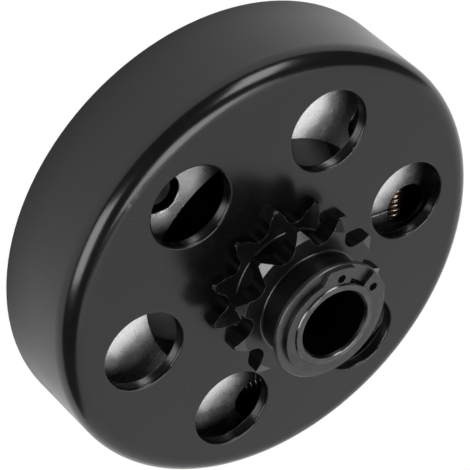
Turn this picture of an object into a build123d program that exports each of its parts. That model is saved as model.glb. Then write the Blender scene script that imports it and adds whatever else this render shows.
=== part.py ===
from build123d import *
from math import cos, pi, radians, sin, tan
import os

# Centrifugal clutch with a chain sprocket. Sizes in mm, angles in degrees.
# The axis of the clutch is +Z and points out of the sprocket side.
# The open rim of the drum stands on z = 0, and shoe 1 slides out along +X.

# Drum: a cup pressed from sheet, with a turned friction wall
drum_diameter = 106.0
drum_depth = 24.3
drum_sheet = 2.8
drum_edge_radius = 4.4
drum_draft = 0.5
hole_count = 6
hole_diameter = 19.0
hole_inset = 1.3
hole_turn = 26.7
hole_edge_radius = 0.5
rim_edge = 0.4

# Sprocket: chain pitch and roller set the tooth form
tooth_count = 11
chain_pitch = 9.525
roller_diameter = 5.08
tooth_turn = 5.63
tooth_thickness = 4.3
tooth_tip_width = 0.8
tooth_bevel_length = 1.05
tooth_bevel_depth = 2.15
tooth_back_bevel = 0.5
chain_offset = 9.25
neck_diameter = 25.0
neck_fillet = 0.4
rear_row_height = 2.1
collar_diameter = 24.8
collar_edge = 0.4
collar_fillet = 0.5

# Hub, its bore and what it carries
bore_diameter = 15.92
snout_diameter = 20.0
snout_end_height = 20.5
snout_edge = 0.5
hub_body_diameter = 40.0
hub_rear_recess = 0.8
rear_boss_diameter = 30.0
boss_flat_width = 27.0
keyway_width = 4.8
keyway_depth = 2.3
keyway_end_wall = 1.0
body_edge = 0.6

# Bushing, washers and retaining ring
bushing_wall = 1.05
bushing_setback = 0.4
thrust_washer_diameter = 32.0
thrust_washer_thickness = 1.0
washer_diameter = 28.1
washer_thickness = 1.2
ring_thickness = 1.1
ring_turn = -167.0
ring_gap_angle = 26.0
ring_ear_angle = 27.0
ring_ear_slope = 26.0
ring_back_width = 2.9
ring_end_width = 2.0
ring_ear_width = 4.4
ring_hole_diameter = 2.0
ring_hole_reach = 2.0
groove_depth = 0.7
snout_end_land = 0.35
ring_seat_gap = 0.05

# Shoes and the parts that drive them
shoe_count = 4
shoe_depth = 21.0
shoe_face_depth = 7.0
shoe_thickness = 11.7
shoe_travel = 1.0
shoe_end_gap = 0.3
shoe_edge = 0.2
plate_thickness = 3.0
plate_shoe_lap = 1.8
plate_arm_width = 17.0
drive_pin_wall_gap = 12.6
drive_pin_diameter = 6.0
drive_head_diameter = 7.8
drive_head_thickness = 2.2
drive_head_sink = 1.0
drive_head_edge = 0.5
rivet_head_depth = 0.8
plate_corner_radius = 4.0
stake_lip = 0.9

# Springs and their pins
spring_wall_gap = 10.4
spring_outer_diameter = 6.2
spring_wire = 1.25
spring_pitch = 1.36
spring_turns = 9
window_diameter = 9.8
pocket_skin = 2.2
pocket_width = 7.6
spring_pin_diameter = 2.4
spring_pin_seat = 1.4
spring_pin_head_diameter = 3.5
spring_pin_head_thickness = 0.7
hook_sweep = 235.0
hook_bend_swell = 1.05

# Clearances, the edge break of small pieces, and how far a cut runs past a face
engaged_gap = 0.2
running_gap = 0.05
press_gap = 0.02
end_play = 0.15
slide_gap = 0.15
spring_gap = 0.3
plate_gap = 0.4
small_edge = 0.2
past = 1.0

# Radii and heights that follow from the sizes above
drum_radius = drum_diameter / 2
friction_radius = drum_radius - drum_sheet
face_z = drum_depth
web_back_z = face_z - drum_sheet
pitch_radius = chain_pitch / 2 / sin(pi / tooth_count)
tip_radius = chain_pitch * (0.6 + 1 / tan(pi / tooth_count)) / 2
hole_radius = (tip_radius + drum_radius) / 2 - hole_inset
tooth_front_z = face_z + chain_offset + tooth_thickness / 2
tooth_back_z = tooth_front_z - tooth_thickness
rear_row_z = face_z + rear_row_height
snout_radius = snout_diameter / 2
bore_radius = bore_diameter / 2
snout_end_z = face_z + snout_end_height
bushing_inner = snout_radius + running_gap
bushing_outer = bushing_inner + bushing_wall
sprocket_bore = bushing_outer + press_gap
ring_front_z = snout_end_z - snout_end_land
ring_back_z = ring_front_z - ring_thickness
washer_front_z = ring_back_z - ring_seat_gap
washer_back_z = washer_front_z - washer_thickness
collar_front_z = washer_back_z - end_play
thrust_front_z = web_back_z - end_play
shoulder_z = thrust_front_z - thrust_washer_thickness
groove_radius = snout_radius - groove_depth
shoe_front_z = face_z - shoe_face_depth
shoe_back_z = shoe_front_z - shoe_thickness
plate_front_z = shoe_back_z - plate_gap
plate_back_z = plate_front_z - plate_thickness
shoe_inner_radius = friction_radius - shoe_depth
plate_radius = shoe_inner_radius + plate_shoe_lap
drive_radius = friction_radius - drive_pin_wall_gap
head_front_z = shoe_front_z - drive_head_sink
head_back_z = head_front_z - drive_head_thickness
spring_radius = friction_radius - spring_wall_gap
pocket_roof_z = shoe_front_z - pocket_skin
spring_z = pocket_roof_z - spring_gap - spring_outer_diameter / 2
coil_radius = (spring_outer_diameter - spring_wire) / 2
wire_radius = spring_wire / 2
coil_half_length = spring_turns * spring_pitch / 2
hook_centre = coil_half_length + coil_radius
spring_pin_reach = hook_centre + coil_radius - wire_radius - spring_pin_diameter / 2


def at_angle(radius, angle):
    return (radius * cos(radians(angle)), radius * sin(radians(angle)))


def slab(face, low, high):
    """The flat outline face, standing from height low to height high."""
    return Pos(0, 0, low) * extrude(face, high - low)


def turned(*lines):
    """A solid turned about Z from lines given as (radius, height)."""
    return revolve(Plane.XZ * make_face(Curve() + list(lines)), Axis.Z)


def turned_corners(*corners):
    return turned(Polyline(*corners, close=True))


def ring(inner, outer, low, high, edge):
    """A ring about Z, its four edges cut back by edge."""
    return turned_corners(
        (inner + edge, low),
        (outer - edge, low),
        (outer, low + edge),
        (outer, high - edge),
        (outer - edge, high),
        (inner + edge, high),
        (inner, high - edge),
        (inner, low + edge),
    )


def tooth_space(grow):
    """One space between teeth, its pitch point on +Y, with the teeth grown by grow.

    The coefficients are those of the standard tooth form for roller chain. Above the
    flank's arc the tooth narrows straight to its tip.
    """
    half = pi / tooth_count
    seat = (1.005 * roller_diameter + 0.0762) / 2 - grow
    seat_angle = radians(35 + 60 / tooth_count)
    flank_angle = radians(18 - 56 / tooth_count)
    flank_radius = 1.3025 * roller_diameter + 0.0381 - grow
    flank_centre = Vector(cos(seat_angle), sin(seat_angle)) * 0.8 * roller_diameter
    end_angle = seat_angle - flank_angle
    tip_angle = half - (tooth_tip_width / 2 + grow) / tip_radius
    bottom = Vector(0, -seat)
    seat_end = Vector(-cos(seat_angle), -sin(seat_angle)) * seat
    flank_mid = flank_centre - Vector(
        cos(seat_angle - flank_angle / 2), sin(seat_angle - flank_angle / 2)
    ) * flank_radius
    flank_end = flank_centre - Vector(cos(end_angle), sin(end_angle)) * flank_radius
    tip = Vector(-sin(tip_angle), cos(tip_angle)) * tip_radius - Vector(0, pitch_radius)

    def mirrored(point):
        return Vector(-point.X, point.Y)

    left = [ThreePointArc(seat_end, flank_mid, flank_end), Line(flank_end, tip)]
    right = [
        ThreePointArc(mirrored(seat_end), mirrored(flank_mid), mirrored(flank_end)),
        Line(mirrored(flank_end), mirrored(tip)),
    ]
    crown = Vector(0, tip_radius - pitch_radius + roller_diameter)
    cap = [Line(tip, crown), Line(crown, mirrored(tip))]
    floor = [ThreePointArc(seat_end, bottom, mirrored(seat_end))]
    return Pos(0, pitch_radius) * make_face(Curve() + (left + floor + right + cap))


def tooth_spaces(grow, low, high):
    space = slab(tooth_space(grow), low, high)
    step = 360 / tooth_count
    first = tooth_turn + step / 2 - 90
    return [Rot(0, 0, first + step * i) * space for i in range(tooth_count)]


def drum():
    inner_edge = drum_edge_radius - drum_sheet
    flat_end = drum_radius - drum_edge_radius
    low_edge = face_z - drum_edge_radius
    inner_flat_end = friction_radius - inner_edge
    cup = turned(
        Line((0, face_z), (flat_end, face_z)),
        RadiusArc((flat_end, face_z), (drum_radius, low_edge), drum_edge_radius),
        Polyline(
            (drum_radius, low_edge),
            (drum_radius + drum_draft, rim_edge),
            (drum_radius + drum_draft - rim_edge, 0),
            (friction_radius + rim_edge, 0),
            (friction_radius, rim_edge),
            (friction_radius, web_back_z - inner_edge),
        ),
        RadiusArc(
            (friction_radius, web_back_z - inner_edge), (inner_flat_end, web_back_z), -inner_edge
        ),
        Polyline((inner_flat_end, web_back_z), (0, web_back_z), (0, face_z)),
    )
    hole = hole_space(hole_diameter / 2, web_back_z, face_z, hole_edge_radius)
    for i in range(hole_count):
        x, y = at_angle(hole_radius, hole_turn + 360 / hole_count * i)
        cup -= Pos(x, y, 0) * hole
    opening = slab(Circle(tip_radius + press_gap), web_back_z - past, face_z + past)
    for space in tooth_spaces(press_gap, web_back_z - 2 * past, face_z + 2 * past):
        opening -= space
    return cup - opening


def hole_space(radius, low, high, edge):
    """The space of a round hole whose two rims are rounded by edge."""
    return turned(
        Line((0, low), (radius + edge, low)),
        RadiusArc((radius + edge, low), (radius, low + edge), edge),
        Line((radius, low + edge), (radius, high - edge)),
        RadiusArc((radius, high - edge), (radius + edge, high), edge),
        Polyline((radius + edge, high), (0, high), (0, low)),
    )


def sprocket():
    neck = neck_diameter / 2
    collar = collar_diameter / 2
    foot = collar + collar_fillet
    foot_z = tooth_front_z + collar_fillet
    blank = turned(
        Polyline(
            (sprocket_bore, collar_front_z),
            (sprocket_bore, web_back_z),
            (tip_radius, web_back_z),
            (tip_radius, rear_row_z - tooth_back_bevel),
            (tip_radius - tooth_back_bevel, rear_row_z),
            (neck + neck_fillet, rear_row_z),
        ),
        RadiusArc(
            (neck + neck_fillet, rear_row_z), (neck, rear_row_z + neck_fillet), neck_fillet
        ),
        Line((neck, rear_row_z + neck_fillet), (neck, tooth_back_z - neck_fillet)),
        RadiusArc(
            (neck, tooth_back_z - neck_fillet), (neck + neck_fillet, tooth_back_z), neck_fillet
        ),
        Polyline(
            (neck + neck_fillet, tooth_back_z),
            (tip_radius - tooth_back_bevel, tooth_back_z),
            (tip_radius, tooth_back_z + tooth_back_bevel),
            (tip_radius, tooth_front_z - tooth_bevel_length),
            (tip_radius - tooth_bevel_depth, tooth_front_z),
            (foot, tooth_front_z),
        ),
        RadiusArc((foot, tooth_front_z), (collar, foot_z), collar_fillet),
        Polyline(
            (collar, foot_z),
            (collar, collar_front_z - collar_edge),
            (collar - collar_edge, collar_front_z),
            (sprocket_bore, collar_front_z),
        ),
    )
    for space in tooth_spaces(0, web_back_z - past, tooth_front_z + past):
        blank -= space
    return blank


def bushing():
    front_z = collar_front_z - bushing_setback
    return ring(bushing_inner, bushing_outer, web_back_z, front_z, small_edge)


def hub():
    boss = rear_boss_diameter / 2
    body = hub_body_diameter / 2
    lip_back_z = plate_back_z - stake_lip
    solid = turned_corners(
        (bore_radius + snout_edge, hub_rear_recess),
        (boss - stake_lip, hub_rear_recess),
        (boss + stake_lip, lip_back_z),
        (boss + stake_lip, plate_back_z - press_gap),
        (boss, plate_back_z - press_gap),
        (boss, plate_front_z),
        (body - body_edge, plate_front_z),
        (body, plate_front_z + body_edge),
        (body, shoulder_z - body_edge),
        (body - body_edge, shoulder_z),
        (snout_radius, shoulder_z),
        (snout_radius, ring_back_z - press_gap),
        (groove_radius, ring_back_z - press_gap),
        (groove_radius, ring_front_z + press_gap),
        (snout_radius, ring_front_z + press_gap),
        (snout_radius - snout_edge / 2, snout_end_z),
        (bore_radius + snout_edge, snout_end_z),
        (bore_radius, snout_end_z - snout_edge),
        (bore_radius, hub_rear_recess + snout_edge),
    )
    flat = boss_flat_width / 2
    for side in (-1, 1):
        cut = Box(body, 2 * body, plate_front_z)
        solid -= Pos(side * (flat + body / 2), 0, plate_front_z / 2) * cut
    keyway_end = shoulder_z - keyway_end_wall
    keyway_top = bore_radius + keyway_depth
    solid -= Pos(0, keyway_top / 2, keyway_end / 2) * Box(keyway_width, keyway_top, keyway_end)
    return solid


def driver_plate():
    boss = rear_boss_diameter / 2 + press_gap
    flat = boss_flat_width / 2 + press_gap
    outline = Circle(plate_radius)
    arm_radius = plate_arm_width / 2
    for i in range(shoe_count):
        arm = Pos(drive_radius / 2, 0) * Rectangle(drive_radius, plate_arm_width)
        arm += Pos(drive_radius, 0) * Circle(arm_radius)
        outline += Rot(0, 0, 360 / shoe_count * i) * arm
    inside = outline.vertices().filter_by(lambda v: Vector(v.X, v.Y).length < drive_radius)
    outline = fillet(inside, plate_corner_radius)
    outline -= Circle(boss) & Rectangle(2 * flat, 2 * boss)
    plate = slab(outline, plate_back_z, plate_front_z)
    pin_hole = drive_pin_diameter / 2 + press_gap
    rivet_hole = drive_head_diameter / 2 + press_gap
    for i in range(shoe_count):
        x, y = at_angle(drive_radius, 360 / shoe_count * i)
        plate -= Pos(x, y, 0) * slab(Circle(pin_hole), 0, plate_front_z + past)
        plate -= Pos(x, y, 0) * slab(Circle(rivet_hole), 0, plate_back_z + rivet_head_depth)
    return plate


def drive_pin(index):
    shank = drive_pin_diameter / 2
    head = drive_head_diameter / 2
    edge = drive_head_edge
    rivet_z = plate_back_z + rivet_head_depth - press_gap
    pin = turned_corners(
        (0, plate_back_z),
        (head - edge, plate_back_z),
        (head, plate_back_z + edge / 2),
        (head, rivet_z),
        (shank, rivet_z),
        (shank, head_back_z),
        (head, head_back_z),
        (head, head_front_z - edge),
        (head - edge, head_front_z),
        (0, head_front_z),
    )
    x, y = at_angle(drive_radius, 360 / shoe_count * index)
    return Pos(x, y, 0) * pin


def spring_place(side):
    """Carries a spring drawn along Y at the end of shoe 1 that lies to one side."""
    half = 180 / shoe_count
    x, y = at_angle(spring_radius, side * half)
    return Pos(x, y, 0) * Rot(0, 0, side * half)


def shoe_outline():
    half = radians(180 / shoe_count)
    corner = shoe_end_gap / 2 / sin(half)
    reach = 2 * drum_radius
    wedge = make_face(
        Polyline(
            (corner, 0),
            (corner + reach * cos(half), -reach * sin(half)),
            (corner + 2 * reach, 0),
            (corner + reach * cos(half), reach * sin(half)),
            close=True,
        )
    )
    outer = Pos(-shoe_travel, 0) * Circle(friction_radius - engaged_gap)
    return (outer & wedge) - Circle(shoe_inner_radius)


def edged_hole(radius, low, high):
    """The space of a round hole from height low, with a broken rim at height high."""
    return turned_corners(
        (0, low),
        (radius, low),
        (radius, high - shoe_edge),
        (radius + shoe_edge + past, high + past),
        (0, high + past),
    )


def shoe(index):
    solid = slab(shoe_outline(), shoe_back_z, shoe_front_z)
    faces = solid.faces().filter_by(Axis.Z)
    solid = chamfer(faces.edges(), shoe_edge)
    pocket_end = hook_centre + coil_radius + wire_radius + spring_gap
    pocket_centre = pocket_end - pocket_width / 2
    for side in (-1, 1):
        place = spring_place(side)
        into = -side
        solid -= place * edged_hole(window_diameter / 2, 0, shoe_front_z)
        pocket = Pos(0, into * pocket_centre / 2) * Rectangle(pocket_width, pocket_centre)
        pocket += Pos(0, into * pocket_centre) * Circle(pocket_width / 2)
        solid -= place * slab(pocket, 0, pocket_roof_z)
        seat = Pos(0, into * spring_pin_reach) * Circle(spring_pin_diameter / 2 + press_gap)
        solid -= place * slab(seat, 0, pocket_roof_z + spring_pin_seat + press_gap)
    shank_width = drive_pin_diameter + 2 * slide_gap
    slot = SlotCenterToCenter(shoe_travel, shank_width)
    hole_x = drive_radius - shoe_travel / 2
    solid -= Pos(hole_x, 0, 0) * slab(slot, 0, face_z)
    head_space = drive_head_diameter / 2 + shoe_travel / 2 + slide_gap
    solid -= Pos(hole_x, 0, 0) * edged_hole(head_space, head_back_z - slide_gap, shoe_front_z)
    return Rot(0, 0, 360 / shoe_count * index) * solid


def spring_pins(index):
    """The two headed pins of one shoe, one near each end."""
    hook_back_z = spring_z - wire_radius - spring_gap
    head_end_z = hook_back_z - spring_pin_head_thickness
    pin = slab(Circle(spring_pin_diameter / 2), head_end_z, pocket_roof_z + spring_pin_seat)
    pin += slab(Circle(spring_pin_head_diameter / 2), head_end_z, hook_back_z)
    pins = []
    for side in (-1, 1):
        pins.append(spring_place(side) * Pos(0, -side * spring_pin_reach, 0) * pin)
    return Rot(0, 0, 360 / shoe_count * index) * Compound(children=pins)


def spring(index):
    """A close-wound extension spring, hooked at both ends, across the gap after one shoe."""
    path = Helix(spring_pitch, 2 * coil_half_length, coil_radius)
    section = Plane(path @ 0, z_dir=path % 0) * Circle(wire_radius)
    coil = sweep(section, path, is_frenet=True)
    body = Pos(0, 0, -coil_half_length) * coil
    for end in (-1, 1):
        straight = hook_centre - coil_half_length
        leg = Pos(coil_radius, 0, coil_half_length) * slab(Circle(wire_radius), 0, straight)
        elbow = Pos(coil_radius, 0, coil_half_length) * Sphere(wire_radius * hook_bend_swell)
        loop_face = Pos(coil_radius, 0) * Circle(wire_radius)
        loop = revolve(Plane.XY * loop_face, Axis.Y, -hook_sweep)
        hook = leg + elbow + Pos(0, 0, hook_centre) * loop
        body += hook if end > 0 else Rot(180, 0, 0) * hook
    lying = Rot(-90, 0, 0) * body
    gap_angle = 180 / shoe_count
    x, y = at_angle(spring_radius, gap_angle)
    placed = Pos(x, y, spring_z) * Rot(0, 0, gap_angle) * lying
    return Rot(0, 0, 360 / shoe_count * index) * placed


def thrust_washer():
    inner = snout_radius + slide_gap
    return ring(inner, thrust_washer_diameter / 2, shoulder_z, thrust_front_z, small_edge)


def front_washer():
    inner = snout_radius + slide_gap
    return ring(inner, washer_diameter / 2, washer_back_z, washer_front_z, small_edge)


def retaining_ring():
    inner = groove_radius + press_gap
    outer = inner + (ring_back_width + ring_end_width) / 2
    shift = (ring_back_width - ring_end_width) / 2
    half_gap = ring_gap_angle / 2
    ear_end = half_gap + ring_ear_angle
    ear_radius = inner + ring_ear_width
    far = 2 * ear_radius
    outline = Pos(-shift, 0) * Circle(outer)
    for side in (-1, 1):
        outline += Circle(ear_radius) & make_face(
            Polyline(
                (inner, 0),
                at_angle(inner, side * (ear_end + ring_ear_slope)),
                at_angle(ear_radius, side * ear_end),
                at_angle(far, side * ear_end),
                (far, 0),
                close=True,
            )
        )
    outline -= Circle(inner)
    outline -= make_face(
        Polyline((0, 0), at_angle(far, -half_gap), at_angle(far, half_gap), close=True)
    )
    hole_angle = half_gap + ring_ear_angle / 2
    for side in (-1, 1):
        x, y = at_angle(inner + ring_hole_reach, side * hole_angle)
        outline -= Pos(x, y) * Circle(ring_hole_diameter / 2)
    return Rot(0, 0, ring_turn) * slab(outline, ring_back_z, ring_front_z)


parts = {
    "drum": drum(),
    "sprocket": sprocket(),
    "bushing": bushing(),
    "hub": hub(),
    "driver_plate": driver_plate(),
    "thrust_washer": thrust_washer(),
    "front_washer": front_washer(),
    "retaining_ring": retaining_ring(),
}
for number in range(shoe_count):
    parts[f"drive_pin_{number + 1}"] = drive_pin(number)
    parts[f"shoe_{number + 1}"] = shoe(number)
    parts[f"spring_pins_{number + 1}"] = spring_pins(number)
    parts[f"spring_{number + 1}"] = spring(number)

os.makedirs("parts", exist_ok=True)
for name, solid in parts.items():
    export_step(solid, f"parts/{name}.step")
    print(name, round(solid.volume, 1))
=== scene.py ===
import math
import bmesh
import bpy
from mathutils import Matrix, Vector


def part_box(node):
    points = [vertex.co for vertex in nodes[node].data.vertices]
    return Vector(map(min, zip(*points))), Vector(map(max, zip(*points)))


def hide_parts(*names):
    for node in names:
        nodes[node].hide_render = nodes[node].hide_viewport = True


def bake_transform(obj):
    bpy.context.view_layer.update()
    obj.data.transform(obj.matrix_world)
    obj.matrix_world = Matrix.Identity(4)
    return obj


# Centrifugal clutch: finishes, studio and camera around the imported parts, in metres.
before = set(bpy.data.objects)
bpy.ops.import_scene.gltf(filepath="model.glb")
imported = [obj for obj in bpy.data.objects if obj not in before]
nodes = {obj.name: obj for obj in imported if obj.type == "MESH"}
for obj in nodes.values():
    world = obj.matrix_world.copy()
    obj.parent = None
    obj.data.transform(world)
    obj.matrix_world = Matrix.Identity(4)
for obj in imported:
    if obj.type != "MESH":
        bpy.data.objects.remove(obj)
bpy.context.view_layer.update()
scene = bpy.context.scene
scene.view_settings.view_transform = "Standard"
shoeCount = 4
print("frame loaded,", len(nodes), "nodes")


# Shader helpers

numberKind = "NodeSocketFloat"
vectorKind = "NodeSocketVector"
leastRadius = 0.0001  # keeps a division sound on the axis itself
bevelSamples = 6
noiseMiddle = 0.5


def newMaterial(name, kind="ShaderNodeBsdfPrincipled"):
    material = bpy.data.materials.new(name)
    material.use_nodes = True
    tree = material.node_tree
    tree.nodes.clear()
    output = tree.nodes.new("ShaderNodeOutputMaterial")
    shader = tree.nodes.new(kind)
    tree.links.new(shader.outputs[0], output.inputs["Surface"])
    return material, tree, shader


def feed(tree, socket, value):
    # a socket is linked, anything else becomes the input's own value
    if isinstance(value, bpy.types.NodeSocket):
        tree.links.new(value, socket)
    elif isinstance(value, tuple) and len(value) == 3 and socket.type == "RGBA":
        socket.default_value = (*value, 1.0)
    else:
        socket.default_value = value


def maths(tree, operation, a, b=0.0):
    node = tree.nodes.new("ShaderNodeMath")
    node.operation = operation
    feed(tree, node.inputs[0], a)
    feed(tree, node.inputs[1], b)
    return node.outputs[0]


def times(tree, a, b):
    return maths(tree, "MULTIPLY", a, b)


def below(tree, value, limit):
    return maths(tree, "LESS_THAN", value, limit)


def above(tree, value, limit):
    return maths(tree, "GREATER_THAN", value, limit)


def remap(tree, value, low, high, newLow=0.0, newHigh=1.0):
    node = tree.nodes.new("ShaderNodeMapRange")
    node.interpolation_type = "SMOOTHSTEP"
    given = {"Value": value, "From Min": low, "From Max": high, "To Min": newLow, "To Max": newHigh}
    for label, item in given.items():
        feed(tree, node.inputs[label], item)
    return node.outputs["Result"]


def mixColor(tree, mask, a, b):
    node = tree.nodes.new("ShaderNodeMix")
    node.data_type = "RGBA"
    feed(tree, node.inputs["Factor"], mask)
    feed(tree, node.inputs[6], a)  # the node's colour sockets
    feed(tree, node.inputs[7], b)
    return node.outputs[2]


def mixValue(tree, mask, a, b):
    node = tree.nodes.new("ShaderNodeMix")
    feed(tree, node.inputs["Factor"], mask)
    feed(tree, node.inputs[2], a)
    feed(tree, node.inputs[3], b)
    return node.outputs[0]


def noise(tree, vector, scale, detail, roughness):
    node = tree.nodes.new("ShaderNodeTexNoise")
    feed(tree, node.inputs["Vector"], vector)
    feed(tree, node.inputs["Scale"], scale)
    node.inputs["Detail"].default_value = detail
    node.inputs["Roughness"].default_value = roughness
    return node.outputs["Fac"]


def place(tree):
    return tree.nodes.new("ShaderNodeTexCoord").outputs["Object"]


def splitVector(tree, vector):
    split = tree.nodes.new("ShaderNodeSeparateXYZ")
    feed(tree, split.inputs[0], vector)
    return split.outputs


def joinVector(tree, *values):
    joined = tree.nodes.new("ShaderNodeCombineXYZ")
    for socket, value in zip(joined.inputs, values):
        feed(tree, socket, value)
    return joined.outputs[0]


def vectorMaths(tree, operation, *values):
    node = tree.nodes.new("ShaderNodeVectorMath")
    node.operation = operation
    for socket, value in zip(node.inputs, values):
        feed(tree, socket, value)
    return node.outputs["Value"] if operation == "DOT_PRODUCT" else node.outputs[0]


def axisDistance(tree, x, y):
    # how far a place is from the clutch's axis
    square = maths(tree, "ADD", times(tree, x, x), times(tree, y, y))
    return maths(tree, "SQRT", square)


def axisTilt(tree):
    # 1 on faces across the clutch's axis, 0 on walls along it
    flat = tree.nodes.new("ShaderNodeNewGeometry").outputs["True Normal"]
    return maths(tree, "ABSOLUTE", splitVector(tree, flat)[2])


def leanOut(tree, normal, x, y, radius, amount):
    # tips a normal away from the clutch's axis by the given slope
    share = maths(tree, "DIVIDE", amount, maths(tree, "MAXIMUM", radius, leastRadius))
    world = tree.nodes.new("ShaderNodeVectorTransform")
    world.vector_type = "VECTOR"
    world.convert_from = "OBJECT"
    world.convert_to = "WORLD"
    feed(tree, world.inputs[0], joinVector(tree, times(tree, x, share), times(tree, y, share)))
    return vectorMaths(tree, "NORMALIZE", vectorMaths(tree, "ADD", normal, world.outputs[0]))


def bump(tree, height, strength, distance, normal=None):
    node = tree.nodes.new("ShaderNodeBump")
    node.inputs["Strength"].default_value = strength
    node.inputs["Distance"].default_value = distance
    feed(tree, node.inputs["Height"], height)
    if normal is not None:
        feed(tree, node.inputs["Normal"], normal)
    return node.outputs["Normal"]


def softEdge(tree, radius):
    # the tiny rounding that a real edge has
    node = tree.nodes.new("ShaderNodeBevel")
    node.samples = bevelSamples
    node.inputs["Radius"].default_value = radius
    return node.outputs["Normal"]


def newGroup(name, inputs, outputs):
    group = bpy.data.node_groups.new(name, "ShaderNodeTree")
    for label, kind in inputs.items():
        group.interface.new_socket(name=label, in_out="INPUT", socket_type=kind)
    for label in outputs:
        group.interface.new_socket(name=label, in_out="OUTPUT", socket_type=numberKind)
    start = group.nodes.new("NodeGroupInput")
    end = group.nodes.new("NodeGroupOutput")
    return group, start.outputs, end.inputs


def useGroup(tree, group, values):
    node = tree.nodes.new("ShaderNodeGroup")
    node.node_tree = group
    for label, value in values.items():
        feed(tree, node.inputs[label], value)
    return node.outputs


# Surface effects that several finishes share

effects = {
    "grainDetail": 3.0, "fineRoughness": 0.6, "wideRoughness": 0.55,
    "ringDetail": 2.0, "ringRoughness": 0.6, "speckFalloff": 3.0,
    "wearScale": 900.0, "wearDetail": 2.0, "wearRoughness": 0.6,
    "wearStart": 0.01, "wearLow": 0.35, "wearHigh": 0.6, "toneLow": 0.3, "toneHigh": 0.7,
}


def makeGrain():
    group, given, result = newGroup(
        "surfaceGrain", {"Place": vectorKind, "Size": numberKind, "Blotch": numberKind},
        ["Height", "Tone"])
    for size, roughness, label in (("Size", "fineRoughness", "Height"),
                                   ("Blotch", "wideRoughness", "Tone")):
        scale = maths(group, "DIVIDE", 1.0, given[size])
        cloud = noise(group, given["Place"], scale, effects["grainDetail"], effects[roughness])
        group.links.new(cloud, result[label])
    return group


def makeTurning():
    # rings left by a lathe tool, on faces and on walls alike
    group, given, result = newGroup(
        "latheRings", {"Place": vectorKind, "Pitch": numberKind}, ["Height"])
    x, y, z = splitVector(group, given["Place"])
    radius = axisDistance(group, x, y)
    along = maths(group, "DIVIDE", maths(group, "ADD", radius, z), given["Pitch"])
    safe = maths(group, "MAXIMUM", radius, leastRadius)
    ringed = joinVector(group, along, maths(group, "DIVIDE", x, safe),
                        maths(group, "DIVIDE", y, safe))
    rings = noise(group, ringed, 1.0, effects["ringDetail"], effects["ringRoughness"])
    group.links.new(rings, result["Height"])
    return group


def makeSpecks():
    # small scattered spots: dust on paint, pits in metal
    group, given, result = newGroup(
        "scatteredSpecks", {"Place": vectorKind, "Spacing": numberKind, "Size": numberKind},
        ["Mask"])
    cells = group.nodes.new("ShaderNodeTexVoronoi")
    group.links.new(given["Place"], cells.inputs["Vector"])
    group.links.new(maths(group, "DIVIDE", 1.0, given["Spacing"]), cells.inputs["Scale"])
    split = group.nodes.new("ShaderNodeSeparateColor")
    group.links.new(cells.outputs["Color"], split.inputs[0])
    share = maths(group, "POWER", split.outputs[0], effects["speckFalloff"])
    inside = below(group, cells.outputs["Distance"], times(group, given["Size"], share))
    group.links.new(inside, result["Mask"])
    return group


def makeEdgeWear():
    # high where the rounded normal leaves the surface's own, broken up by noise
    inputs = {"Place": vectorKind, "Rounded": vectorKind, "Flat": vectorKind,
              "Spread": numberKind}
    group, given, result = newGroup("edgeWear", inputs, ["Mask"])
    turned = vectorMaths(group, "DOT_PRODUCT", given["Rounded"], given["Flat"])
    bend = maths(group, "SUBTRACT", 1.0, turned)
    broken = noise(group, given["Place"], effects["wearScale"], effects["wearDetail"],
                   effects["wearRoughness"])
    edge = remap(group, bend, effects["wearStart"], given["Spread"])
    patches = remap(group, broken, effects["wearLow"], effects["wearHigh"])
    group.links.new(times(group, edge, patches), result["Mask"])
    return group


grain = makeGrain()
turning = makeTurning()
specks = makeSpecks()
edgeWear = makeEdgeWear()
print("shared effects built")


# Finishes

def wornEdges(tree, at, look):
    # the rounded normal of the edges, and where they are rubbed bright
    rounded = softEdge(tree, look["edge"])
    flat = tree.nodes.new("ShaderNodeNewGeometry").outputs["Normal"]
    wear = useGroup(tree, edgeWear, {"Place": at, "Rounded": rounded, "Flat": flat,
                                     "Spread": look["wearSpread"]})
    return rounded, times(tree, wear["Mask"], look["wear"])


def grainAndRings(tree, at, look):
    surface = useGroup(tree, grain, {"Place": at, "Size": look["grainSize"],
                                     "Blotch": look["blotch"]})
    rings = useGroup(tree, turning, {"Place": at, "Pitch": look["ringPitch"]})
    rough = remap(tree, surface["Tone"], effects["toneLow"], effects["toneHigh"],
                  look["roughLow"], look["roughHigh"])
    return surface, rings, rough


def reliefNormal(tree, look, surface, rings, rounded):
    height = mixValue(tree, look["ringShare"], surface["Height"], rings["Height"])
    return bump(tree, height, look["relief"], look["reliefDepth"], rounded)


drumLook = {
    "paint": (0.0035, 0.0035, 0.004), "ior": 1.5, "roughLow": 0.17, "roughHigh": 0.22,
    "grainSize": 0.0006, "peel": 0.08, "peelDepth": 0.0001, "blotch": 0.012,
    "dust": (0.25, 0.25, 0.25), "dustSpacing": 0.0016, "dustSize": 0.06, "dustTone": 0.5,
    "frictionRadius": 0.0502, "wallSkin": 0.0003, "wallTop": 0.0195, "ringPitch": 0.0002,
    "wallDark": (0.32, 0.315, 0.31), "wallBright": (0.55, 0.54, 0.53), "wallRoughness": 0.32,
}


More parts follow.
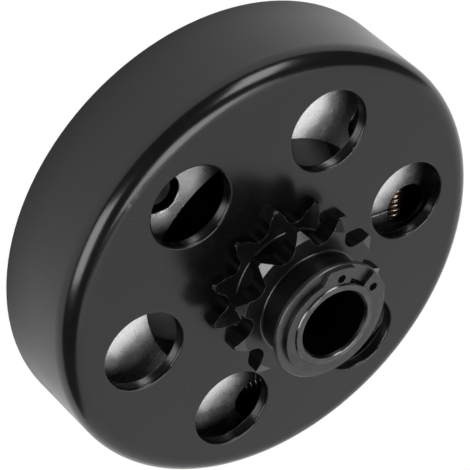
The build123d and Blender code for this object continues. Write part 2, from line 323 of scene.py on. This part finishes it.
def blackPaint(look):
    # black paint with a little dust, and the turned friction wall left bare inside
    material, tree, shader = newMaterial("blackPaint")
    at = place(tree)
    surface, rings, gloss = grainAndRings(tree, at, look)
    dust = useGroup(tree, specks, {"Place": at, "Spacing": look["dustSpacing"],
                                   "Size": look["dustSize"]})
    x, y, z = splitVector(tree, at)
    radius = axisDistance(tree, x, y)
    inside = below(tree, radius, look["frictionRadius"] + look["wallSkin"])
    outside = above(tree, radius, look["frictionRadius"] - look["wallSkin"])
    bare = times(tree, times(tree, inside, outside), below(tree, z, look["wallTop"]))
    dusted = times(tree, dust["Mask"], look["dustTone"])
    paint = mixColor(tree, dusted, look["paint"], look["dust"])
    steel = mixColor(tree, rings["Height"], look["wallDark"], look["wallBright"])
    feed(tree, shader.inputs["Base Color"], mixColor(tree, bare, paint, steel))
    feed(tree, shader.inputs["Metallic"], bare)
    feed(tree, shader.inputs["Roughness"], mixValue(tree, bare, gloss, look["wallRoughness"]))
    peel = bump(tree, surface["Height"], look["peel"], look["peelDepth"])
    feed(tree, shader.inputs["Normal"], peel)
    shader.inputs["IOR"].default_value = look["ior"]
    return material


sprocketLook = {
    "dark": (0.005, 0.005, 0.0055), "light": (0.009, 0.009, 0.0095), "ior": 1.5,
    # the flank tone is painted shade on the flanks and the rear row's slopes
    "flankShadeTone": (0.02, 0.02, 0.02), "sideRoughness": 0.4, "sideTilt": 0.2,
    # the bevel tone is a painted highlight on the front row's bevels
    "bevelHighlightTone": (0.1, 0.1, 0.1), "bevelTilt": 0.8, "faceTilt": 0.97, "rearTop": 0.0265,
    "roughLow": 0.2, "roughHigh": 0.28, "grainSize": 0.0003, "blotch": 0.004,
    "ringPitch": 0.00025, "ringShare": 0.5, "relief": 0.15, "reliefDepth": 0.00005,
    "edge": 0.00012, "wear": 0.35, "wearSpread": 0.12, "bare": (0.4, 0.4, 0.4),
}


def blackOxide(look):
    # dark faces; the flanks and the rear row's slopes painted darker as painted shade, and the
    # front row's bevels painted brighter as a painted highlight
    material, tree, shader = newMaterial("blackOxide")
    at = place(tree)
    surface, rings, rough = grainAndRings(tree, at, look)
    rounded, worn = wornEdges(tree, at, look)
    tilt = axisTilt(tree)
    z = splitVector(tree, at)[2]
    sloped = below(tree, tilt, look["faceTilt"])
    rear = times(tree, sloped, below(tree, z, look["rearTop"]))
    # painted shade: the flanks and the rear row's slopes get a near-black metal tone
    shadedSide = maths(tree, "MAXIMUM", below(tree, tilt, look["sideTilt"]), rear)
    # painted highlight: the front row's bevels get a brighter metal tone
    highlightBevel = times(tree, sloped, above(tree, tilt, look["bevelTilt"]))
    tone = mixColor(tree, surface["Tone"], look["dark"], look["light"])
    tone = mixColor(tree, shadedSide, tone, look["flankShadeTone"])
    tone = mixColor(tree, highlightBevel, tone, look["bevelHighlightTone"])
    feed(tree, shader.inputs["Base Color"], mixColor(tree, worn, tone, look["bare"]))
    # the painted shade and painted highlight facets are made metallic
    paintedFacets = maths(tree, "MAXIMUM", shadedSide, highlightBevel)
    feed(tree, shader.inputs["Metallic"], maths(tree, "MAXIMUM", worn, paintedFacets))
    feed(tree, shader.inputs["Roughness"], mixValue(tree, shadedSide, rough, look["sideRoughness"]))
    feed(tree, shader.inputs["Normal"], reliefNormal(tree, look, surface, rings, rounded))
    shader.inputs["IOR"].default_value = look["ior"]
    return material


metalBase = {
    "dark": (0.3, 0.3, 0.3), "light": (0.42, 0.42, 0.42), "bare": (0.6, 0.6, 0.6),
    "pit": (0.1, 0.1, 0.1), "roughLow": 0.3, "roughHigh": 0.42, "grainSize": 0.0002,
    "blotch": 0.003, "ringPitch": 0.0002, "ringShare": 0.0, "relief": 0.2,
    "reliefDepth": 0.00004, "pitSpacing": 0.0008, "pitSize": 0.08, "pitTone": 0.5,
    "edge": 0.00012, "wear": 0.5, "wearSpread": 0.15,
}
metalLooks = {
    "turnedSteel": {
        "dark": (0.07, 0.07, 0.072), "light": (0.12, 0.12, 0.123), "roughLow": 0.16,
        "roughHigh": 0.22, "ringShare": 0.85, "ringPitch": 0.0004,
        "boreRadius": 0.0083, "boreColor": (0.02, 0.02, 0.022), "boreRoughness": 0.35,
        "endHeight": 0.0445, "endPitch": 0.0004, "endSlope": 2.2,
    },
    "oiledBronze": {
        "dark": (0.3, 0.19, 0.09), "light": (0.45, 0.3, 0.15), "bare": (0.6, 0.42, 0.25),
        "ringShare": 0.5,
    },
    "phosphateSteel": {
        "dark": (0.09, 0.09, 0.092), "light": (0.15, 0.15, 0.153), "bare": (0.25, 0.25, 0.25),
        "blotch": 0.008,
    },
    "washerSteel": {
        "dark": (0.075, 0.075, 0.077), "light": (0.1, 0.1, 0.103), "bare": (0.4, 0.4, 0.4),
        "ringShare": 0.3,
    },
    "ringSteel": {
        "dark": (0.065, 0.065, 0.067), "light": (0.09, 0.09, 0.092), "bare": (0.3, 0.3, 0.3),
    },
    "pinSteel": {
        "dark": (0.05, 0.05, 0.052), "light": (0.09, 0.09, 0.092), "bare": (0.5, 0.5, 0.5),
        "roughLow": 0.2, "roughHigh": 0.3, "ringShare": 0.5,
    },
    "shoePlate": {
        "dark": (0.92, 0.92, 0.92), "light": (0.98, 0.98, 0.98), "roughLow": 0.25,
        "roughHigh": 0.3, "blotch": 0.005, "relief": 0.25, "grainSize": 0.0003,
        "pitTone": 0.25, "pitSize": 0.05, "wear": 0.2,
        "faceHigh": 0.01695, "faceLow": 0.006, "faceTilt": 0.98, "sideTilt": 0.2,
        # painted shade: the wall colour darkens the shoes' walls, the rim colour their chamfers
        "wallShadeColor": (0.02, 0.02, 0.02), "wallRoughness": 0.45, "rimShadeColor": (0.15, 0.15, 0.15),
        "speckleFrom": 0.4, "speckleTo": 0.6, "speckleLow": 0.86,
    },
    "springWire": {
        "dark": (0.42, 0.31, 0.24), "light": (0.58, 0.45, 0.36), "bare": (0.62, 0.48, 0.38),
        "roughLow": 0.22, "roughHigh": 0.3,
    },
    # painted shade: a darker copy of the spring wire for the one spring that lies in shade
    "shadedSpringWire": {
        "dark": (0.05, 0.04, 0.033), "light": (0.09, 0.07, 0.055), "bare": (0.15, 0.12, 0.1),
        "roughLow": 0.22, "roughHigh": 0.3,
    },
}


def bareMetal(name, look):
    # metal with grain, lathe rings, blotches and pits, and edges worn brighter
    material, tree, shader = newMaterial(name)
    at = place(tree)
    surface, rings, rough = grainAndRings(tree, at, look)
    pits = useGroup(tree, specks, {"Place": at, "Spacing": look["pitSpacing"],
                                   "Size": look["pitSize"]})
    rounded, worn = wornEdges(tree, at, look)
    x, y, z = splitVector(tree, at)
    radius = axisDistance(tree, x, y)
    tone = mixColor(tree, surface["Tone"], look["dark"], look["light"])
    tone = mixColor(tree, times(tree, pits["Mask"], look["pitTone"]), tone, look["pit"])
    tone = mixColor(tree, worn, tone, look["bare"])
    if "boreRadius" in look:
        bore = below(tree, radius, look["boreRadius"])
        tone = mixColor(tree, bore, tone, look["boreColor"])
        rough = mixValue(tree, bore, rough, look["boreRoughness"])
    if "wallShadeColor" in look:
        # painted shade: the walls and everything between the two ground faces are painted near
        # black, and the chamfered rims a mid grey
        tilt = axisTilt(tree)
        face = maths(tree, "ADD", above(tree, z, look["faceHigh"]),
                     below(tree, z, look["faceLow"]))
        wall = maths(tree, "MAXIMUM", maths(tree, "SUBTRACT", 1.0, face),
                     below(tree, tilt, look["sideTilt"]))
        speckle = remap(tree, surface["Height"], look["speckleFrom"], look["speckleTo"],
                        look["speckleLow"], 1.0)
        tone = mixColor(tree, speckle, (0, 0, 0), tone)
        # painted shade: the chamfered rims are darkened to a mid grey
        tone = mixColor(tree, below(tree, tilt, look["faceTilt"]), tone, look["rimShadeColor"])
        tone = mixColor(tree, wall, tone, look["wallShadeColor"])
        rough = mixValue(tree, wall, rough, look["wallRoughness"])
    feed(tree, shader.inputs["Base Color"], tone)
    feed(tree, shader.inputs["Roughness"], rough)
    shader.inputs["Metallic"].default_value = 1.0
    if "endHeight" in look:
        # the snout's end is faced off, with rings that lean both ways
        end = above(tree, z, look["endHeight"])
        coarse = useGroup(tree, turning, {"Place": at, "Pitch": look["endPitch"]})
        swing = maths(tree, "SUBTRACT", coarse["Height"], noiseMiddle)
        slope = times(tree, times(tree, swing, look["endSlope"]), end)
        rounded = leanOut(tree, rounded, x, y, radius, slope)
    feed(tree, shader.inputs["Normal"], reliefNormal(tree, look, surface, rings, rounded))
    return material


finishes = {"blackPaint": blackPaint(drumLook), "blackOxide": blackOxide(sprocketLook)}
for name, changes in metalLooks.items():
    finishes[name] = bareMetal(name, {**metalBase, **changes})
finishOf = {
    "drum": "blackPaint", "sprocket": "blackOxide", "bushing": "oiledBronze",
    "hub": "turnedSteel", "driver_plate": "phosphateSteel", "thrust_washer": "washerSteel",
    "front_washer": "washerSteel", "retaining_ring": "ringSteel", "drive_pin": "pinSteel",
    "shoe": "shoePlate", "spring_pins": "pinSteel", "spring": "springWire",
    # painted shade: this spring gets the darker copy of the wire
    "spring_1": "shadedSpringWire",
}


def finishFor(name):
    # a node's own finish, or else that of its kind, without the number
    return finishes[finishOf.get(name, finishOf[name.rstrip("_1234")])]


for name, node in nodes.items():
    for slot in node.material_slots:
        slot.material = finishFor(name)
print("finishes given to", len(nodes), "nodes")


# Springs: each is split at its middle, and each half is named after the shoe its hook sits on

springHalves = {
    "radius": 0.0398, "firstAngle": 45.0, "stretch": 0.0058, "sharp": 0.6, "weld": 1e-7,
    "slot": "spring_wire",
}


def springHalf(name, middle, along, body):
    weld = springHalves["weld"]
    bm = bmesh.new()
    bm.from_mesh(nodes[name].data)
    bmesh.ops.remove_doubles(bm, verts=bm.verts, dist=weld)
    bmesh.ops.bisect_plane(bm, geom=bm.verts[:] + bm.edges[:] + bm.faces[:], dist=weld,
                           plane_co=middle, plane_no=along, clear_inner=True)
    bmesh.ops.holes_fill(bm, edges=[edge for edge in bm.edges if edge.is_boundary], sides=0)
    bmesh.ops.recalc_face_normals(bm, faces=bm.faces)
    for face in bm.faces:
        face.smooth = True
        face.material_index = 0
    for edge in bm.edges:
        edge.smooth = edge.calc_face_angle(0.0) < springHalves["sharp"]
    mesh = bpy.data.meshes.new(name + "_to_" + body)
    bm.to_mesh(mesh)
    bm.free()
    mesh.materials.append(finishFor(name))
    half = bpy.data.objects.new(mesh.name, mesh)
    scene.collection.objects.link(half)
    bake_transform(half)
    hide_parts(name)


for index in range(shoeCount):
    name = f"spring_{index + 1}"
    angle = math.radians(springHalves["firstAngle"] + 360 / shoeCount * index)
    low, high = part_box(name)
    middle = Vector((math.cos(angle), math.sin(angle), 0)) * springHalves["radius"]
    middle.z = (low[2] + high[2]) / 2
    along = Vector((-math.sin(angle), math.cos(angle), 0))
    springHalf(name, middle, -along, f"shoe_{index + 1}")
    springHalf(name, middle, along, f"shoe_{(index + 1) % shoeCount + 1}")
print("springs split between their shoes")


# Studio: pale floor, soft overhead box, two side boxes and a curved pale backdrop

studio = {
    "floor": (0.88, 0.88, 0.88), "floorRoughness": 0.9, "floorSize": 3.0, "floorDrop": 0.0001,
    "floorGlow": 1.03, "floorShare": 0.95, "dome": 0.08, "sky": 0.97, "boxDistance": 1.4,
    "boxes": {
        "overheadBox": {"azimuth": 116, "elevation": 81, "width": 0.62, "height": 0.78,
                        "level": 4.0},
        "leftBox": {"azimuth": -156, "elevation": 33, "width": 0.5, "height": 0.8, "level": 5.0},
        "rightBox": {"azimuth": -52, "elevation": 29, "width": 0.85, "height": 0.8, "level": 4.4},
    },
    "backdropRadius": 1.6, "backdropFrom": 24, "backdropTo": 130, "backdropSteps": 40,
    "backdropBottom": -2, "backdropTop": 64, "backdropRows": 11, "backdropRise": 0.85,
    "backdropLow": 0.87, "backdropHigh": 1.5,
}


def direction(azimuth, elevation):
    a, e = math.radians(azimuth), math.radians(elevation)
    return Vector((math.cos(a) * math.cos(e), math.sin(a) * math.cos(e), math.sin(e)))


def softBox(name, box):
    light = bpy.data.lights.new(name, "AREA")
    light.shape = "RECTANGLE"
    light.size = box["width"]
    light.size_y = box["height"]
    light.energy = 4 * box["width"] * box["height"] * box["level"]  # radiance to watts
    lamp = bpy.data.objects.new(name, light)
    scene.collection.objects.link(lamp)
    towards = direction(box["azimuth"], box["elevation"])
    lamp.location = towards * studio["boxDistance"]
    lamp.rotation_euler = towards.to_track_quat("Z", "Y").to_euler()
    lamp.visible_camera = False


def stagePiece(name, bm, material):
    mesh = bpy.data.meshes.new(name)
    bm.to_mesh(mesh)
    bm.free()
    mesh.materials.append(material)
    piece = bpy.data.objects.new(name, mesh)
    scene.collection.objects.link(piece)
    return piece


def cameraSees(tree):
    return tree.nodes.new("ShaderNodeLightPath").outputs["Is Camera Ray"]


def makeFloor():
    # mostly a plain glow to the camera, and a plain pale floor to everything else
    material, tree, shader = newMaterial("paleFloor")
    feed(tree, shader.inputs["Base Color"], studio["floor"])
    shader.inputs["Roughness"].default_value = studio["floorRoughness"]
    shader.inputs["Specular IOR Level"].default_value = 0.0
    glow = tree.nodes.new("ShaderNodeEmission")
    glow.inputs["Strength"].default_value = studio["floorGlow"]
    blend = tree.nodes.new("ShaderNodeMixShader")
    feed(tree, blend.inputs[0], times(tree, cameraSees(tree), studio["floorShare"]))
    tree.links.new(shader.outputs[0], blend.inputs[1])
    tree.links.new(glow.outputs[0], blend.inputs[2])
    output = next(node for node in tree.nodes if node.type == "OUTPUT_MATERIAL")
    tree.links.new(blend.outputs[0], output.inputs["Surface"])
    bm = bmesh.new()
    bmesh.ops.create_grid(bm, x_segments=1, y_segments=1, size=studio["floorSize"])
    bmesh.ops.translate(bm, verts=bm.verts, vec=(0, 0, -studio["floorDrop"]))
    stagePiece("paleFloor", bm, material)


def makeBackdrop():
    # a glowing curved wall behind the object, brighter towards its top
    reach = studio["backdropRadius"]
    bottom, peak = studio["backdropBottom"], studio["backdropTop"]
    top = reach * math.sin(math.radians(peak))
    material, tree, glow = newMaterial("backdropGlow", "ShaderNodeEmission")
    z = splitVector(tree, place(tree))[2]
    feed(tree, glow.inputs["Strength"], remap(tree, z, studio["backdropRise"] * top, top,
                                              studio["backdropLow"], studio["backdropHigh"]))
    bm = bmesh.new()
    step = (peak - bottom) / studio["backdropRows"]
    rises = [bottom + step * row for row in range(studio["backdropRows"] + 1)]
    points = [bm.verts.new(direction(studio["backdropFrom"], rise) * reach) for rise in rises]
    edges = [bm.edges.new(pair) for pair in zip(points, points[1:])]
    sweep = math.radians(studio["backdropTo"] - studio["backdropFrom"])
    bmesh.ops.spin(bm, geom=points + edges, cent=(0, 0, 0), axis=(0, 0, 1), angle=sweep,
                   steps=studio["backdropSteps"], use_merge=False)
    piece = stagePiece("backdrop", bm, material)
    piece.visible_camera = False


def makeWorld():
    # a dim room for the light, and a pale one behind the floor's edge
    world = bpy.data.worlds.new("studioRoom")
    scene.world = world
    world.use_nodes = True
    tree = world.node_tree
    tree.nodes.clear()
    output = tree.nodes.new("ShaderNodeOutputWorld")
    room = tree.nodes.new("ShaderNodeBackground")
    level = mixValue(tree, cameraSees(tree), studio["dome"], studio["sky"])
    feed(tree, room.inputs["Strength"], level)
    room.inputs["Color"].default_value = (1, 1, 1, 1)
    tree.links.new(room.outputs[0], output.inputs["Surface"])


for name, box in studio["boxes"].items():
    softBox(name, box)
makeFloor()
makeBackdrop()
makeWorld()
print("studio lit")


# Camera, where the photograph's stood

view = {
    "position": (-0.037219, -0.335863, 0.306465), "lens": 156.53, "sensor": 36.0,
    "right": (-0.61039, 0.56357, 0.55661), "up": (-0.78778, -0.35861, -0.50080),
    "nearest": 0.01, "farthest": 50.0,
}
lens = bpy.data.cameras.new("camera")
lens.lens = view["lens"]
lens.sensor_width = view["sensor"]
lens.clip_start = view["nearest"]
lens.clip_end = view["farthest"]
camera = bpy.data.objects.new("camera", lens)
scene.collection.objects.link(camera)
right = Vector(view["right"]).normalized()
back = right.cross(Vector(view["up"])).normalized()
up = back.cross(right)
turn = Matrix((right, up, back)).transposed()
camera.matrix_world = Matrix.Translation(view["position"]) @ turn.to_4x4()
scene.camera = camera
print("camera set")
